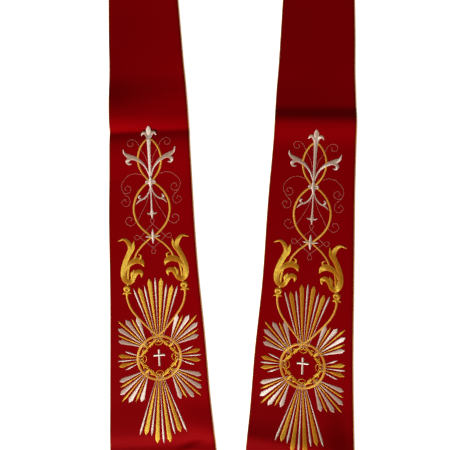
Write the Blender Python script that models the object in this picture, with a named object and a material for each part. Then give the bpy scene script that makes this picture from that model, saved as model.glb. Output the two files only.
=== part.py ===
"""A clerical stole laid flat on a surface, with its neck end up +Y.

Two mirrored halves, each a long tapered strip of lined satin, meet in a nape
seam. A gold piping cord runs round the edge of each half, and each carries
raised gold and silver embroidery: a fleur on a staff, two ribbon ovals, a pair
of acanthus leaves, and a roundel with rays. The cloth rests on the surface but
for the creases where the stole was folded for storing.

Lengths are in metres, except in the tables whose names end in _MM.
"""

import math

import bmesh
import bpy
import numpy as np
from mathutils import Matrix, Vector
from mathutils.geometry import delaunay_2d_cdt

MM = 0.001
LEFT, RIGHT = -1, 1
SIDE_NAMES = {LEFT: "left", RIGHT: "right"}

# The cut of a half. Its centreline rises from the hem, leans outward, turns
# round the neck and ends at the nape seam.
WALL = 0.002
SEAM_GAP = 0.0003
HEM_FROM_MIDDLE = 0.1027
LEAN = math.radians(2.5)
STRAIGHT_RUN = 1.120
RIGHT_DROP = 0.010
NECK_RADIUS = 0.167
NAPE_RISE = math.radians(20)
HEM_CORNER = 0.0025
CORNER_ROWS = (0.0, 0.3, 1.0)

# Distance from the hem, and the width of the strip there.
WIDTHS_MM = (
    (0, 167.5), (90, 158.4), (146, 151.8), (246, 142.6), (346, 133.2), (446, 126.8),
    (546, 120.5), (630, 115.6), (710, 107.8), (800, 101.7), (900, 97), (1000, 93.5),
    (1200, 89), (1400, 88),
)

# Distance from the hem, and how far the strip strays outward from its straight
# run there, because cloth is never laid down quite straight.
SWAY_MM = {
    LEFT: ((0, -1.8), (100, -1.2), (250, 0), (420, 1.5), (600, -0.6), (720, 0), (900, 0), (1120, 0), (1400, 0)),
    RIGHT: ((0, -1), (200, -0.8), (320, 0.5), (480, 0.5), (580, 1.6), (640, 0.4), (720, -0.8), (800, -2.4),
            (960, -1.6), (1130, 0), (1400, 0)),
}

# The creases, as humps of the cloth. Distance of the crest from the hem, its
# rise, how far it reaches towards the hem and towards the neck, the form of
# each flank, and how much the crest climbs along the panel for each metre
# across it.
FOLDS_MM = {
    LEFT: (
        # crest, rise, below, above, below form, above form, climb
        (62, 1.0, 27, 18, "soft", "soft", 0.02),
        (112, 4.0, 32, 50, "roll", "soft", 0.02),
        (547, 1.2, 27, 18, "soft", "soft", 0.025),
        (596, 4.5, 31, 55, "roll", "soft", 0.025),
        (1043, 1.2, 27, 18, "soft", "soft", 0.0),
        (1078, 3.6, 17, 40, "roll", "soft", 0.0),
    ),
    RIGHT: (
        (105, 5.0, 40, 30, "sharp", "sharp", -0.05),
        (599, 5.0, 42, 30, "sharp", "sharp", -0.01),
        (1088, 4.0, 40, 30, "sharp", "sharp", 0.0),
    ),
}
FLANKS = {
    "soft": lambda t: (1 + math.cos(math.pi * t)) / 2,
    "roll": lambda t: math.cos(math.pi * t / 2),
    "sharp": lambda t: (1 - t) ** 2,
}
CLIMB_REACH = 0.090

# The rows of points that the cloth is lofted through.
ROW_STEP = 0.045
FOLD_STEP = 0.0075
TURN_STEP = math.radians(6.1)
LEAST_STEP = 0.0035

# One row across the cloth: share of the half width, and depth below the top.
CROSS_SECTION = (
    (-1.0, 0.0007), (-0.96, 0.0), (-0.5, 0.0), (0.0, 0.0),
    (0.5, 0.0), (0.96, 0.0), (1.0, 0.0007),
)

# The piping cord and the raised thread work.
PIPING_RADIUS = 0.001
PIPING_LIFT = 0.00115
THREAD = 0.0008
ROUNDEL_FROM_HEM = 0.216
CROSS_HEIGHT_MM = 25
CROSS_WIDTH_MM = 17
CROSS_ARM_MM = 2.8

# The rays stand round the roundel in groups: the group's direction from
# straight up, the number of rays, the angle between them, and the widths of the
# gold and silver rays, which take turns from a silver one at each end.
ROUNDEL_RADIUS_MM = 35
ROUNDEL_BAND_MM = 3.6
RAY_GROUPS = (
    # direction, rays, step, gold width, silver width
    (0, 9, 4.35, 6.8, 3.8),
    (44.6, 7, 6.4, 4.0, 8.6),
    (90, 5, 8.0, 7.4, 3.8),
    (136, 7, 6.25, 4.0, 8.6),
    (180, 9, 4.35, 6.8, 3.8),
)
RAY_REACH_MM = {
    # direction: reach of each ray, from the group's middle ray outward
    0: (123.5, 123, 114, 116, 119),
    44.6: (86.5, 78, 73, 69),
    90: (64, 64, 54),
    136: (88.5, 82, 76, 72),
    180: (132, 131, 121, 122, 122.5),
}
RAY_ROOT_MM = 0.9
RAY_POINT_MM = 6.0
RAY_POINT_SHARE = 0.2

# Ribbons of gold thread, each a width and a row of points x, y. Like the strokes
# below, they are measured from the roundel's centre and drawn for the side
# where x is positive, and the other side is their mirror.
KNOT_Y_MM = 271.5
RIBBONS_MM = (
    # the upper oval
    (2.9, ((0, 340.5), (4.3, 336.5), (14.6, 325.5), (19.2, 311), (17, 296), (5.9, 276.5), (0, 270))),
    # the lower oval
    (3.2, ((0, 272.5), (5.6, 268), (19, 255.5), (27.2, 242), (29.2, 230), (26, 216), (17.7, 201.5), (8, 191),
           (0, 185.5))),
    # from the star to the leaf, and from the leaf to the roundel
    (2.9, ((0, 190), (5.2, 185), (18.5, 174), (26.8, 163.5), (30, 156), (33.5, 149))),
    (2.9, ((42, 118), (44.4, 109.5), (45, 101), (44.6, 92), (40.7, 79), (33, 66), (22, 55), (11.5, 44), (0, 34.6))),
)

# Tapered strokes, each a row of points x, y and width. The gold ones make an
# acanthus leaf with the ball it grows from.
LEAF_STROKES_MM = (
    # the long plume, from its curled tip down and round to the hook
    ((55, 182, 0.5), (46, 185, 2.8), (39, 179.3, 5.1), (35.4, 171.4, 6.1), (38.4, 163, 6.6), (43.6, 153, 6.4),
     (47.7, 141, 6.6), (48.6, 130.5, 7.4), (45.8, 122.5, 7.4), (40.5, 118.8, 6.8), (35.6, 121.5, 6.2),
     (32.6, 127.5, 6.0), (29.2, 132.6, 6.0), (24.4, 135, 6.0), (20, 132.4, 5.0), (20.8, 126, 0.6)),
    # the leaflet on the hook, and the spike beside the plume
    ((34.5, 125, 3.0), (34.8, 132, 4.3), (31.2, 138, 0.4)),
    ((37.5, 162, 4.0), (32.2, 171.5, 5.6), (29.5, 181.5, 0.4)),
    # the middle leaf with its curl, and the sliver below it
    ((46, 135, 1.6), (40.6, 145, 4.5), (33, 150.6, 7.4), (25, 152, 8.0), (18.6, 148.6, 5.8), (16, 142.6, 0.4)),
    ((24.5, 152, 2.6), (20.4, 156.5, 2.8), (20.6, 159.6, 2.0), (24, 160.8, 0.4)),
    ((38.6, 144, 1.6), (40.8, 135, 2.6), (41.6, 121, 1.4)),
    # the calyx below the ball
    ((45, 103, 2.4), (48.5, 102.4, 1.8), (52, 100, 0.4)),
    ((45, 103, 2.4), (41.5, 102.4, 1.8), (38, 100.4, 0.4)),
)
BALL_MM = (44.2, 109.6, 5.5)

# The silver staff with its fleur, side leaves and knot.
MIDDLE_STROKES_MM = (
    ((0, 359, 0.4), (0, 351.5, 8.4), (0, 346, 5.4)),
    ((0, 347, 5.4), (0, 338, 7.0), (0, 328.5, 4.4), (0, 311, 3.8), (0, 280, 3.4), (0, 264, 3.0)),
    ((0, 281, 0.6), (0, 271, 5.6), (0, 261.5, 0.6)),
    ((0, 264, 2.0), (0, 238, 2.4), (0, 228, 3.2), (0, 223.5, 5.2), (0, 214.5, 0.4)),
    ((0, 199, 0.4), (0, 187.5, 4.4), (0, 176, 0.4)),
    ((-11.4, 187.5, 0.4), (0, 187.5, 4.0), (11.4, 187.5, 0.4)),
)
SIDE_STROKES_MM = (
    ((0, 341, 7.0), (3.9, 345.6, 3.3), (8.2, 348, 3.3), (11.8, 343.5, 0.4)),
    ((40, 324, 0.4), (37.8, 317, 3.3), (30.4, 312, 6.4), (20.4, 307.8, 5.9), (12.4, 302, 4.1), (5.4, 292.5, 2.6),
     (0.6, 279, 2.0)),
    ((25, 308.6, 2.6), (30.6, 308.4, 4.3), (34.3, 305.4, 4.8), (32.2, 301, 3.3), (27.4, 301, 0.4)),
    ((23.8, 238.4, 0.4), (18.6, 243.7, 2.4), (10.4, 247.2, 2.8), (3.9, 255, 2.2), (0.4, 265, 1.8)),
    ((15.5, 246, 1.4), (18.6, 248, 2.8), (18.4, 250.6, 2.4), (15.6, 251.6, 0.4)),
    ((0, 225, 2.2), (3.9, 222.4, 2.0), (8, 224, 0.4)),
)
LOBE_MM = (4.9, KNOT_Y_MM, 3.1)
ROUND_SIDES = 12
LEAST_STROKE_MM = 0.3
MERGE_MM = 0.01

COLOURS = {
    "panel": ((0.205, 0.0, 0.002, 1), 0.45, 0.0),
    "piping": ((0.60, 0.36, 0.05, 1), 0.40, 0.3),
    "embroidery": ((0.66, 0.40, 0.06, 1), 0.40, 0.3),
    "cross": ((0.62, 0.56, 0.52, 1), 0.40, 0.3),
}


def clear_scene():
    for item in list(bpy.data.objects):
        bpy.data.objects.remove(item, do_unlink=True)


def material(name):
    colour, roughness, metallic = COLOURS[name]
    made = bpy.data.materials.new(name)
    made.use_nodes = True
    shader = made.node_tree.nodes["Principled BSDF"]
    shader.inputs["Base Color"].default_value = colour
    shader.inputs["Roughness"].default_value = roughness
    shader.inputs["Metallic"].default_value = metallic
    return made


def smooth_table(table, at):
    """Reads a two-column table along a smooth curve through its rows."""
    x = [row[0] for row in table]
    y = [row[1] for row in table]
    slope = np.gradient(y, x)
    k = min(max(np.searchsorted(x, at, side="right") - 1, 0), len(x) - 2)
    run = x[k + 1] - x[k]
    t = (at - x[k]) / run
    a = y[k] * (1 + 2 * t) * (1 - t) ** 2 + y[k + 1] * t * t * (3 - 2 * t)
    b = slope[k] * t * (1 - t) ** 2 - slope[k + 1] * t * t * (1 - t)
    return a + b * run


def smooth_points(points, pieces):
    """A smooth curve through rows of numbers, with some pieces between each two."""
    rows = [np.array(p, float) for p in points]
    rows = [2 * rows[0] - rows[1], *rows, 2 * rows[-1] - rows[-2]]
    curve = []
    for a, b, c, d in zip(rows, rows[1:], rows[2:], rows[3:]):
        for step in range(pieces):
            t = step / pieces
            bend = (c - a) * t + (2 * a - 5 * b + 4 * c - d) * t**2 + (3 * b - a - 3 * c + d) * t**3
            curve.append(b + bend / 2)
    return [*curve, rows[-2]]


# ---------------------------------------------------------------- the cut


def run_length(side):
    return STRAIGHT_RUN + (RIGHT_DROP if side == RIGHT else 0.0)


def turn_angle():
    return math.pi / 2 + LEAN - NAPE_RISE


def heading(angle):
    return Vector((math.cos(angle), math.sin(angle)))


def inward(angle):
    """The direction across the strip, from its centreline to its inner edge."""
    return Vector((math.sin(angle), -math.cos(angle)))


def shoulder():
    """Where the left half's centreline starts to turn round the neck."""
    return Vector((-HEM_FROM_MIDDLE, 0)) + heading(math.pi / 2 + LEAN) * STRAIGHT_RUN


def turn_end():
    upright = math.pi / 2 + LEAN
    centre = shoulder() + inward(upright) * NECK_RADIUS
    return centre - inward(NAPE_RISE) * NECK_RADIUS


def nape_run():
    return (-SEAM_GAP / 2 - turn_end().x) / math.cos(NAPE_RISE)


def whole_length(side):
    return run_length(side) + NECK_RADIUS * turn_angle() + nape_run()


def centreline(side, distance):
    """A point of the left half's centreline and the direction it runs in."""
    upright = math.pi / 2 + LEAN
    past = float(distance) - run_length(side)
    if past <= 0:
        return shoulder() + heading(upright) * past, upright
    turned = past / NECK_RADIUS
    if turned <= turn_angle():
        centre = shoulder() + inward(upright) * NECK_RADIUS
        angle = upright - turned
        return centre - inward(angle) * NECK_RADIUS, angle
    beyond = past - NECK_RADIUS * turn_angle()
    return turn_end() + heading(NAPE_RISE) * beyond, NAPE_RISE


def place(side, across, distance, up, stop=None):
    """A point of a half: across it towards +X, up from the hem, and above the surface.

    With a stop, the point runs on along the strip until it is that far from
    the nape seam's plane, which mitres the end of the strip.
    """
    point, angle = centreline(side, distance)
    sway = smooth_table(SWAY_MM[side], distance / MM) * MM
    point = point - inward(angle) * float(side * across + sway)
    if stop is not None:
        point = point + heading(angle) * ((-stop - point.x) / math.cos(angle))
    return Vector((-side * point.x, point.y, up))


def half_width(distance):
    width = smooth_table(WIDTHS_MM, distance / MM) * MM / 2
    if distance < HEM_CORNER:
        width -= HEM_CORNER - math.sqrt(HEM_CORNER**2 - (HEM_CORNER - distance) ** 2)
    return width


# ------------------------------------------------------------- the creases


def lift_at(side, distance):
    total = 0.0
    for crest, rise, below, above, below_form, above_form, _ in FOLDS_MM[side]:
        off = distance / MM - crest
        reach, form = (above, above_form) if off >= 0 else (below, below_form)
        if abs(off) < reach:
            total += rise * MM * FLANKS[form](abs(off) / reach)
    return total


def climb_at(side, distance):
    """How much a row climbs along the panel, for each metre across it."""
    best = 0.0
    for crest, _, _, _, _, _, climb in FOLDS_MM[side]:
        share = max(0.0, 1 - abs(distance - crest * MM) / CLIMB_REACH)
        if abs(climb * share) > abs(best):
            best = climb * share
    return best


def row_distances(side):
    """Where the rows of the loft lie: close at the creases and round the neck."""
    straight, whole = run_length(side), whole_length(side)
    turn = NECK_RADIUS * turn_angle()
    marks = list(np.arange(ROW_STEP, straight - ROW_STEP / 2, ROW_STEP))
    marks += list(straight + np.linspace(0, turn, round(turn_angle() / TURN_STEP) + 1))
    for crest, _, below, above, _, _, _ in FOLDS_MM[side]:
        for start, end in ((crest - below, crest), (crest, crest + above)):
            marks += list(np.linspace(start * MM, end * MM, math.ceil((end - start) * MM / FOLD_STEP) + 1))
    kept = [share * HEM_CORNER for share in CORNER_ROWS]
    for mark in sorted(marks):
        if mark - kept[-1] >= LEAST_STEP:
            kept.append(mark)
    return [*kept, whole]


class Rows:
    """The rows of one half, which the cloth and all that lies on it share."""

    def __init__(self, side):
        self.side = side
        self.distance = np.array(row_distances(side))
        self.climb = np.array([climb_at(side, d) if HEM_CORNER < d < run_length(side) else 0.0
                               for d in self.distance])
        self.lift = np.array([lift_at(side, d) for d in self.distance])

    def lift_of(self, across, distance):
        return float(np.interp(distance, self.distance + self.climb * across, self.lift))


# --------------------------------------------------------------- the pieces


def add_object(name, data, kind):
    made = bpy.data.objects.new(name, data)
    data.materials.append(material(kind))
    bpy.data.collections["Clerical stole"].objects.link(made)
    return made


def loft(name, rings, kind):
    """One closed body through rings of points, capped at both ends."""
    work = bmesh.new()
    rows = [[work.verts.new(p) for p in ring] for ring in rings]
    for low, high in zip(rows, rows[1:]):
        for k in range(len(low)):
            n = (k + 1) % len(low)
            work.faces.new((low[k], low[n], high[n], high[k]))
    work.faces.new(rows[0][::-1])
    work.faces.new(rows[-1])
    bmesh.ops.recalc_face_normals(work, faces=work.faces)
    mesh = bpy.data.meshes.new(name)
    work.to_mesh(mesh)
    work.free()
    return add_object(name, mesh, kind)


def panel(rows):
    """The cloth of one half: a flat underside, and a top that rounds off at the edges."""
    rings = []
    for distance, climb, lift in zip(rows.distance, rows.climb, rows.lift):
        half = half_width(distance)
        stop = SEAM_GAP / 2 if distance == rows.distance[-1] else None
        top = []
        bottom = []
        for share, depth in CROSS_SECTION:
            across = share * half
            along = distance + climb * across
            top.append(place(rows.side, across, along, lift + WALL - depth, stop))
            if abs(share) in (1.0, 0.0):
                bottom.append(place(rows.side, across, along, lift, stop))
        rings.append(top + bottom[::-1])
    return loft(f"panel_{SIDE_NAMES[rows.side]}", rings, "panel")


def piping_path(rows):
    """The cord's route: down one edge from the nape, round the hem, up the other."""
    off = SEAM_GAP + PIPING_RADIUS
    nape_stop = 2.5 * SEAM_GAP
    edges = {}
    for edge in (-1, 1):
        points = []
        past_corner = slice(len(CORNER_ROWS), None)
        kept = zip(rows.distance[past_corner], rows.climb[past_corner], rows.lift[past_corner])
        for distance, climb, lift in kept:
            across = edge * (half_width(distance) + off)
            stop = nape_stop if distance == rows.distance[-1] else None
            points.append(place(rows.side, across, distance + climb * across, lift + PIPING_LIFT, stop))
        corner = edge * (half_width(HEM_CORNER) - HEM_CORNER)
        for angle in np.radians((0, 30, 60, 90)):
            reach = HEM_CORNER + off
            across = corner + edge * reach * math.cos(angle)
            along = HEM_CORNER - reach * math.sin(angle)
            points.insert(0, place(rows.side, across, along, PIPING_LIFT))
        edges[edge] = points
    return edges[-1][::-1] + edges[1]


def piping(rows):
    name = f"piping_{SIDE_NAMES[rows.side]}"
    path = piping_path(rows)
    curve = bpy.data.curves.new(name, "CURVE")
    curve.dimensions = "3D"
    curve.bevel_depth = PIPING_RADIUS
    curve.bevel_resolution = 1
    curve.use_fill_caps = True
    spline = curve.splines.new("POLY")
    spline.points.add(len(path) - 1)
    for point, place_of in zip(spline.points, path):
        point.co = (*place_of, 1)
    return add_object(name, curve, "piping")


# ----------------------------------------------------------- the embroidery


def stroke(rows_of_points, pieces=2):
    """The four-sided pieces of a tapered stroke, from its points and widths."""
    curve = smooth_points(rows_of_points, pieces)
    edges = []
    for k, (x, y, width) in enumerate(curve):
        before, after = curve[max(k - 1, 0)], curve[min(k + 1, len(curve) - 1)]
        run = Vector((after[0] - before[0], after[1] - before[1])).normalized()
        off = Vector((-run.y, run.x)) * max(width, LEAST_STROKE_MM) / 2
        edges.append((Vector((x, y)) - off, Vector((x, y)) + off))
    return [(a[0], b[0], b[1], a[1]) for a, b in zip(edges, edges[1:])]


def mirrored(pieces):
    return [tuple(Vector((-p.x, p.y)) for p in reversed(piece)) for piece in pieces]


def disc(x, y, radius):
    angles = [2 * math.pi * (k + 0.5) / ROUND_SIDES for k in range(ROUND_SIDES)]
    return tuple(Vector((x + radius * math.cos(a), y + radius * math.sin(a))) for a in angles)


def roundel():
    """The gold ring, as four-sided pieces."""
    outer, inner = ROUNDEL_RADIUS_MM, ROUNDEL_RADIUS_MM - ROUNDEL_BAND_MM
    count = 3 * ROUND_SIDES
    spokes = [heading(2 * math.pi * k / count) for k in range(count)]
    return [(a * inner, a * outer, b * outer, b * inner) for a, b in zip(spokes, spokes[1:] + spokes[:1])]


def rays():
    """Every ray, as a pointed kite that stands on the roundel."""
    made = []
    root = ROUNDEL_RADIUS_MM - ROUNDEL_BAND_MM / 2
    for direction, count, step, gold, silver in RAY_GROUPS:
        for k in range(count):
            place_in_group = k - count // 2
            reach = RAY_REACH_MM[direction][abs(place_in_group)]
            width = silver if k % 2 == 0 else gold
            point = min(RAY_POINT_MM, RAY_POINT_SHARE * (reach - root))
            angle = math.radians(direction + place_in_group * step)
            out = Vector((math.sin(angle), math.cos(angle)))
            wide = Vector((out.y, -out.x))
            shoulder_at = out * (reach - point)
            kite = (
                out * root - wide * RAY_ROOT_MM / 2,
                out * root + wide * RAY_ROOT_MM / 2,
                shoulder_at + wide * width / 2,
                out * reach,
                shoulder_at - wide * width / 2,
            )
            made.append(kite)
            if direction not in (0, 180):
                made += mirrored([kite])
    return made


def embroidery_outlines():
    made = roundel() + rays()
    for strokes in (LEAF_STROKES_MM, SIDE_STROKES_MM):
        for row in strokes:
            made += stroke(row) + mirrored(stroke(row))
    for width, points in RIBBONS_MM:
        ribbon = stroke([(x, y, width) for x, y in points])
        made += ribbon + mirrored(ribbon)
    for row in MIDDLE_STROKES_MM:
        made += stroke(row, 1)
    for spot in (disc(*BALL_MM), disc(*LOBE_MM)):
        made += [spot, *mirrored([spot])]
    return made


def cross_outlines():
    tall, wide, arm = CROSS_HEIGHT_MM / 2, CROSS_WIDTH_MM / 2, CROSS_ARM_MM / 2
    bar = tall / 3
    return [
        tuple(Vector(p) for p in ((-arm, -tall), (arm, -tall), (arm, tall), (-arm, tall))),
        tuple(Vector(p) for p in ((-wide, bar - arm), (wide, bar - arm), (wide, bar + arm), (-wide, bar + arm))),
    ]


def raised(name, outlines, rows, kind):
    """One solid from overlapping outlines, laid on the cloth row by row."""
    points = []
    faces = []
    for outline in outlines:
        faces.append(list(range(len(points), len(points) + len(outline))))
        points.extend(outline)
    low = min(p.y for p in points) * MM + ROUNDEL_FROM_HEM
    high = max(p.y for p in points) * MM + ROUNDEL_FROM_HEM
    wide = max(p.x for p in points) + 1
    lines = []
    for distance, climb in zip(rows.distance, rows.climb):
        if low - FOLD_STEP < distance < high + FOLD_STEP:
            y = (distance - ROUNDEL_FROM_HEM) / MM
            lines.append((len(points), len(points) + 1))
            points.extend((Vector((-wide, y - climb * wide)), Vector((wide, y + climb * wide))))
    spots, _, cells, _, _, sources = delaunay_2d_cdt(points, lines, faces, 0, MERGE_MM)
    work = bmesh.new()
    corners = {}
    for cell, source in zip(cells, sources):
        if not source:
            continue
        for k in cell:
            if k not in corners:
                across = spots[k].x * MM
                along = ROUNDEL_FROM_HEM + spots[k].y * MM
                up = rows.lift_of(across, along) + WALL + SEAM_GAP
                corners[k] = work.verts.new(place(rows.side, across, along, up))
        work.faces.new([corners[k] for k in cell])
    bmesh.ops.recalc_face_normals(work, faces=work.faces)
    if sum(face.normal.z for face in work.faces) < 0:
        bmesh.ops.reverse_faces(work, faces=work.faces)
    thread = work.faces[:]
    lifted = bmesh.ops.extrude_face_region(work, geom=thread, use_keep_orig=True)["geom"]
    tops = [item for item in lifted if isinstance(item, bmesh.types.BMVert)]
    bmesh.ops.translate(work, verts=tops, vec=(0, 0, THREAD))
    bmesh.ops.recalc_face_normals(work, faces=work.faces)
    mesh = bpy.data.meshes.new(name)
    work.to_mesh(mesh)
    work.free()
    return add_object(name, mesh, kind)


# ------------------------------------------------------------ the whole stole


def centre_on_surface(objects):
    """Puts the middle of the whole box, seen from above, over the origin."""
    bpy.context.view_layer.update()
    corners = [item.matrix_world @ Vector(c) for item in objects for c in item.bound_box]
    low = Vector(min(c[k] for c in corners) for k in range(3))
    high = Vector(max(c[k] for c in corners) for k in range(3))
    shift = Vector((-(low.x + high.x) / 2, -(low.y + high.y) / 2, -low.z))
    for item in objects:
        item.data.transform(Matrix.Translation(shift))


def build():
    clear_scene()
    home = bpy.data.collections.new("Clerical stole")
    bpy.context.scene.collection.children.link(home)
    objects = []
    for side in (LEFT, RIGHT):
        rows = Rows(side)
        word = SIDE_NAMES[side]
        objects.append(panel(rows))
        objects.append(piping(rows))
        objects.append(raised(f"embroidery_{word}", embroidery_outlines(), rows, "embroidery"))
        objects.append(raised(f"cross_{word}", cross_outlines(), rows, "cross"))
    centre_on_surface(objects)


build()
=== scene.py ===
# %% [markdown]
# # A clerical stole, embroidered in gold and silver
#
# A stole is a long scarf-like vestment of lined satin. Two mirrored halves are
# cut, piped with gold cord, embroidered, and joined by a seam at the nape. It is
# laid out flat here, neck end up.
#
# The lesson dresses a plain solid model.

# %% Load the plain model
import math

import bpy
import numpy as np
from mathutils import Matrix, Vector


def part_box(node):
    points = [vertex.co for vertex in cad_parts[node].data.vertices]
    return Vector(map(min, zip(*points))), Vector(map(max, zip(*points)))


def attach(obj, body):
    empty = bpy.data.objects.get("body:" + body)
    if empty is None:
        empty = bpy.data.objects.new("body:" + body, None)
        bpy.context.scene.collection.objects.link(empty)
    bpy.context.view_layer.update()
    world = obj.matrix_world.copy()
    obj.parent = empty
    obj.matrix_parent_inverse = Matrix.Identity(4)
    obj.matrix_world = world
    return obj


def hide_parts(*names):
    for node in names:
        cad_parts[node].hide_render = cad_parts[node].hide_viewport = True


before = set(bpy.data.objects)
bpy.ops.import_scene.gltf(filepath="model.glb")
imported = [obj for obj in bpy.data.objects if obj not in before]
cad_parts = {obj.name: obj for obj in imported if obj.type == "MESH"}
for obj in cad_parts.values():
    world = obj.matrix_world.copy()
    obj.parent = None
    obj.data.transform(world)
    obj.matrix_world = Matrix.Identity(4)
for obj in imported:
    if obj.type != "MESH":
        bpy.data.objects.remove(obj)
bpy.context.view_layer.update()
print("plain pieces:", ", ".join(sorted(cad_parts)))

# %% [markdown]
# ## The camera
#
# The camera hangs nearly straight above the stole, four degrees to the right,
# and sees the lower half of both panels. An orthographic camera would do for a
# flat thing, but a 50 mm lens a metre away also gives the slight perspective
# of a real view, and bends no straight edge.

# %% Hang the camera
SEEN_MIDDLE = (-0.009, -0.2445)
CAMERA_REACH = 0.9625
CAMERA_TURN = math.radians(4)
LENS_MM = 50
SENSOR_MM = 36


def hang_camera():
    x = SEEN_MIDDLE[0] + CAMERA_REACH * math.sin(CAMERA_TURN)
    z = CAMERA_REACH * math.cos(CAMERA_TURN)
    bpy.ops.object.select_all(action="DESELECT")
    bpy.ops.object.camera_add(location=(x, SEEN_MIDDLE[1], z), rotation=(0, CAMERA_TURN, 0))
    camera = bpy.context.object
    camera.name = "overhead_camera"
    camera.data.lens = LENS_MM
    camera.data.sensor_width = SENSOR_MM
    camera.data.dof.use_dof = False
    bpy.context.scene.camera = camera
    return camera


camera = hang_camera()
print("camera height:", round(camera.location.z, 3), "m")

# %% [markdown]
# ## Colours and nodes
#
# Colours are picked as hex values, as a colour chart on a screen gives them.
# Blender computes light with linear numbers, so one function turns one into the
# other.
# A finish is a net of nodes. It could be wired by hand in the shader editor, and
# one function that adds a node with its settings and links does the same.

# %% Small helpers for every finish


def colour(hex_value):
    """An sRGB hex value as the linear colour that a shader wants."""
    parts = [int(hex_value[k : k + 2], 16) / 255 for k in (0, 2, 4)]
    linear = [p / 12.92 if p <= 0.04045 else ((p + 0.055) / 1.055) ** 2.4 for p in parts]
    return (*linear, 1.0)


def add_node(material, kind, settings=(), links=()):
    """Adds a node, sets its sockets and properties, and links what feeds it."""
    node = material.node_tree.nodes.new(kind)
    for name, value in dict(settings).items():
        if isinstance(name, int) or name in node.inputs:
            node.inputs[name].default_value = value
        else:
            setattr(node, name, value)
    for name, source in dict(links).items():
        material.node_tree.links.new(source, node.inputs[name])
    return node


def new_finish(name, sockets):
    """A new material and its shader, with the shader's constant sockets set."""
    finish = bpy.data.materials.new(name)
    finish.use_nodes = True
    shader = finish.node_tree.nodes["Principled BSDF"]
    for socket, value in sockets.items():
        shader.inputs[socket].default_value = value
    return finish, shader


print("pure white in linear:", colour("ffffff"))

# %% [markdown]
# ## The table
#
# The stole lies on a table of opal acrylic, lit from below, as a garment is
# shown for sale. Its surface is sanded fine, so it is plain white and matt. A
# bright white sky would give the same white without a table, but it would also
# light the cloth from all round and hide its creases.

# %% Set the table
TABLE_SIZE = 14
TABLE_TOP = -0.0001
SPECKS_TO_A_METRE = 900


def white_table():
    opal, shader = new_finish("Opal acrylic", {
        "Base Color": colour("f4f4f4"), "Roughness": 0.6,
        "Emission Color": colour("ffffff"), "Emission Strength": 0.85,
    })
    where = add_node(opal, "ShaderNodeTexCoord")
    speck = add_node(opal, "ShaderNodeTexNoise", {"Scale": SPECKS_TO_A_METRE, "Detail": 2.0},
                     {"Vector": where.outputs["Object"]})
    bump = add_node(opal, "ShaderNodeBump", {"Strength": 0.05, "Distance": 0.0005},
                    {"Height": speck.outputs["Fac"]})
    opal.node_tree.links.new(bump.outputs["Normal"], shader.inputs["Normal"])
    bpy.ops.object.select_all(action="DESELECT")
    bpy.ops.mesh.primitive_plane_add(size=TABLE_SIZE, location=(0, 0, TABLE_TOP))
    table = bpy.context.object
    table.name = "white_table"
    table.data.materials.append(opal)
    return table


table = white_table()
print("made:", table.name)

# %% [markdown]
# ## The light
#
# One large soft lamp stands low beyond the hems, to the left, and a pale sky
# fills in the shadows. Lamps on all sides would be kinder to a face, but light
# that skims over cloth from one side shows its creases. Thread shines only
# where it lies across the light, so the lamp's place also decides which rays of
# the embroidery look white and which look dull.

# %% Hang the lamp and the sky
LAMP_PLACE = (-2.0, -4.0, 1.3)
LAMP_AIM = (0.0, -0.25, 0.0)
LAMP_SIZE = 1.6
LAMP_WATTS = 620
SKY_STRENGTH = 0.2


def soft_lamp(name, place, aim, size, watts):
    bpy.ops.object.select_all(action="DESELECT")
    bpy.ops.object.light_add(type="AREA", location=place)
    lamp = bpy.context.object
    lamp.name = name
    lamp.data.shape = "DISK"
    lamp.data.size = size
    lamp.data.energy = watts
    away = lamp.location.copy()
    away.x -= aim[0]
    away.y -= aim[1]
    away.z -= aim[2]
    lamp.rotation_euler = away.to_track_quat("Z", "Y").to_euler()
    return lamp


def pale_sky(strength):
    sky = bpy.data.worlds.new("Pale sky")
    sky.use_nodes = True
    sky.node_tree.nodes["Background"].inputs["Color"].default_value = colour("ffffff")
    sky.node_tree.nodes["Background"].inputs["Strength"].default_value = strength
    bpy.context.scene.world = sky


low_lamp = soft_lamp("low_lamp", LAMP_PLACE, LAMP_AIM, LAMP_SIZE, LAMP_WATTS)
pale_sky(SKY_STRENGTH)
bpy.context.scene.view_settings.view_transform = "Standard"
print("lamp:", low_lamp.name, "at", [round(v, 2) for v in low_lamp.location])

# %% [markdown]
# ## The cut
#
# Each half is a strip that narrows from 171 mm at the hem to 88 mm at the nape.
# Its middle line runs straight, turns round the neck and ends at the seam. It
# could be cut from a plane with bisect, but then cord and thread would have to
# be laid along its edges by eye. Here every point of the stole is given by three
# numbers: how far across the strip, how far along it from the hem, and how high
# above the table. One function lays such points down, many at once, so cloth,
# cord and thread share one cut.

# %% The sizes of the cut

# Sizes are in metres, and what is in millimetres says so in its name.
MM = 0.001
LEFT, RIGHT = -1, 1
SIDE_NAMES = {LEFT: "left", RIGHT: "right"}
# The cloth is this thick, and this much stays open at the nape between the halves.
WALL = 0.002
SEAM_GAP = 0.0003
# Each half leans inward as it runs up from its hem, and the right hem lies lower.
HEM_FROM_MIDDLE = 0.1027
LEAN = math.radians(2.5)
STRAIGHT_RUN = 1.120
RIGHT_DROP = 0.010
# Then it turns round the neck, until it rises only this much towards the nape.
NECK_RADIUS = 0.167
NAPE_RISE = math.radians(20)
UPRIGHT = math.pi / 2 + LEAN
TURN = UPRIGHT - NAPE_RISE
HEM_CORNER = 0.0025

# Distance from the hem, and the width of the strip there.
WIDTHS_MM = (
    (0, 171.5), (90, 162.4), (146, 155.8), (246, 146.6), (346, 136.9), (446, 130.9),
    (546, 124.2), (600, 121.2), (632, 118.4), (665, 114.6), (710, 111.7), (800, 105.1),
    (900, 99.4), (1000, 94.9), (1200, 89.4), (1400, 88),
)
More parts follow.
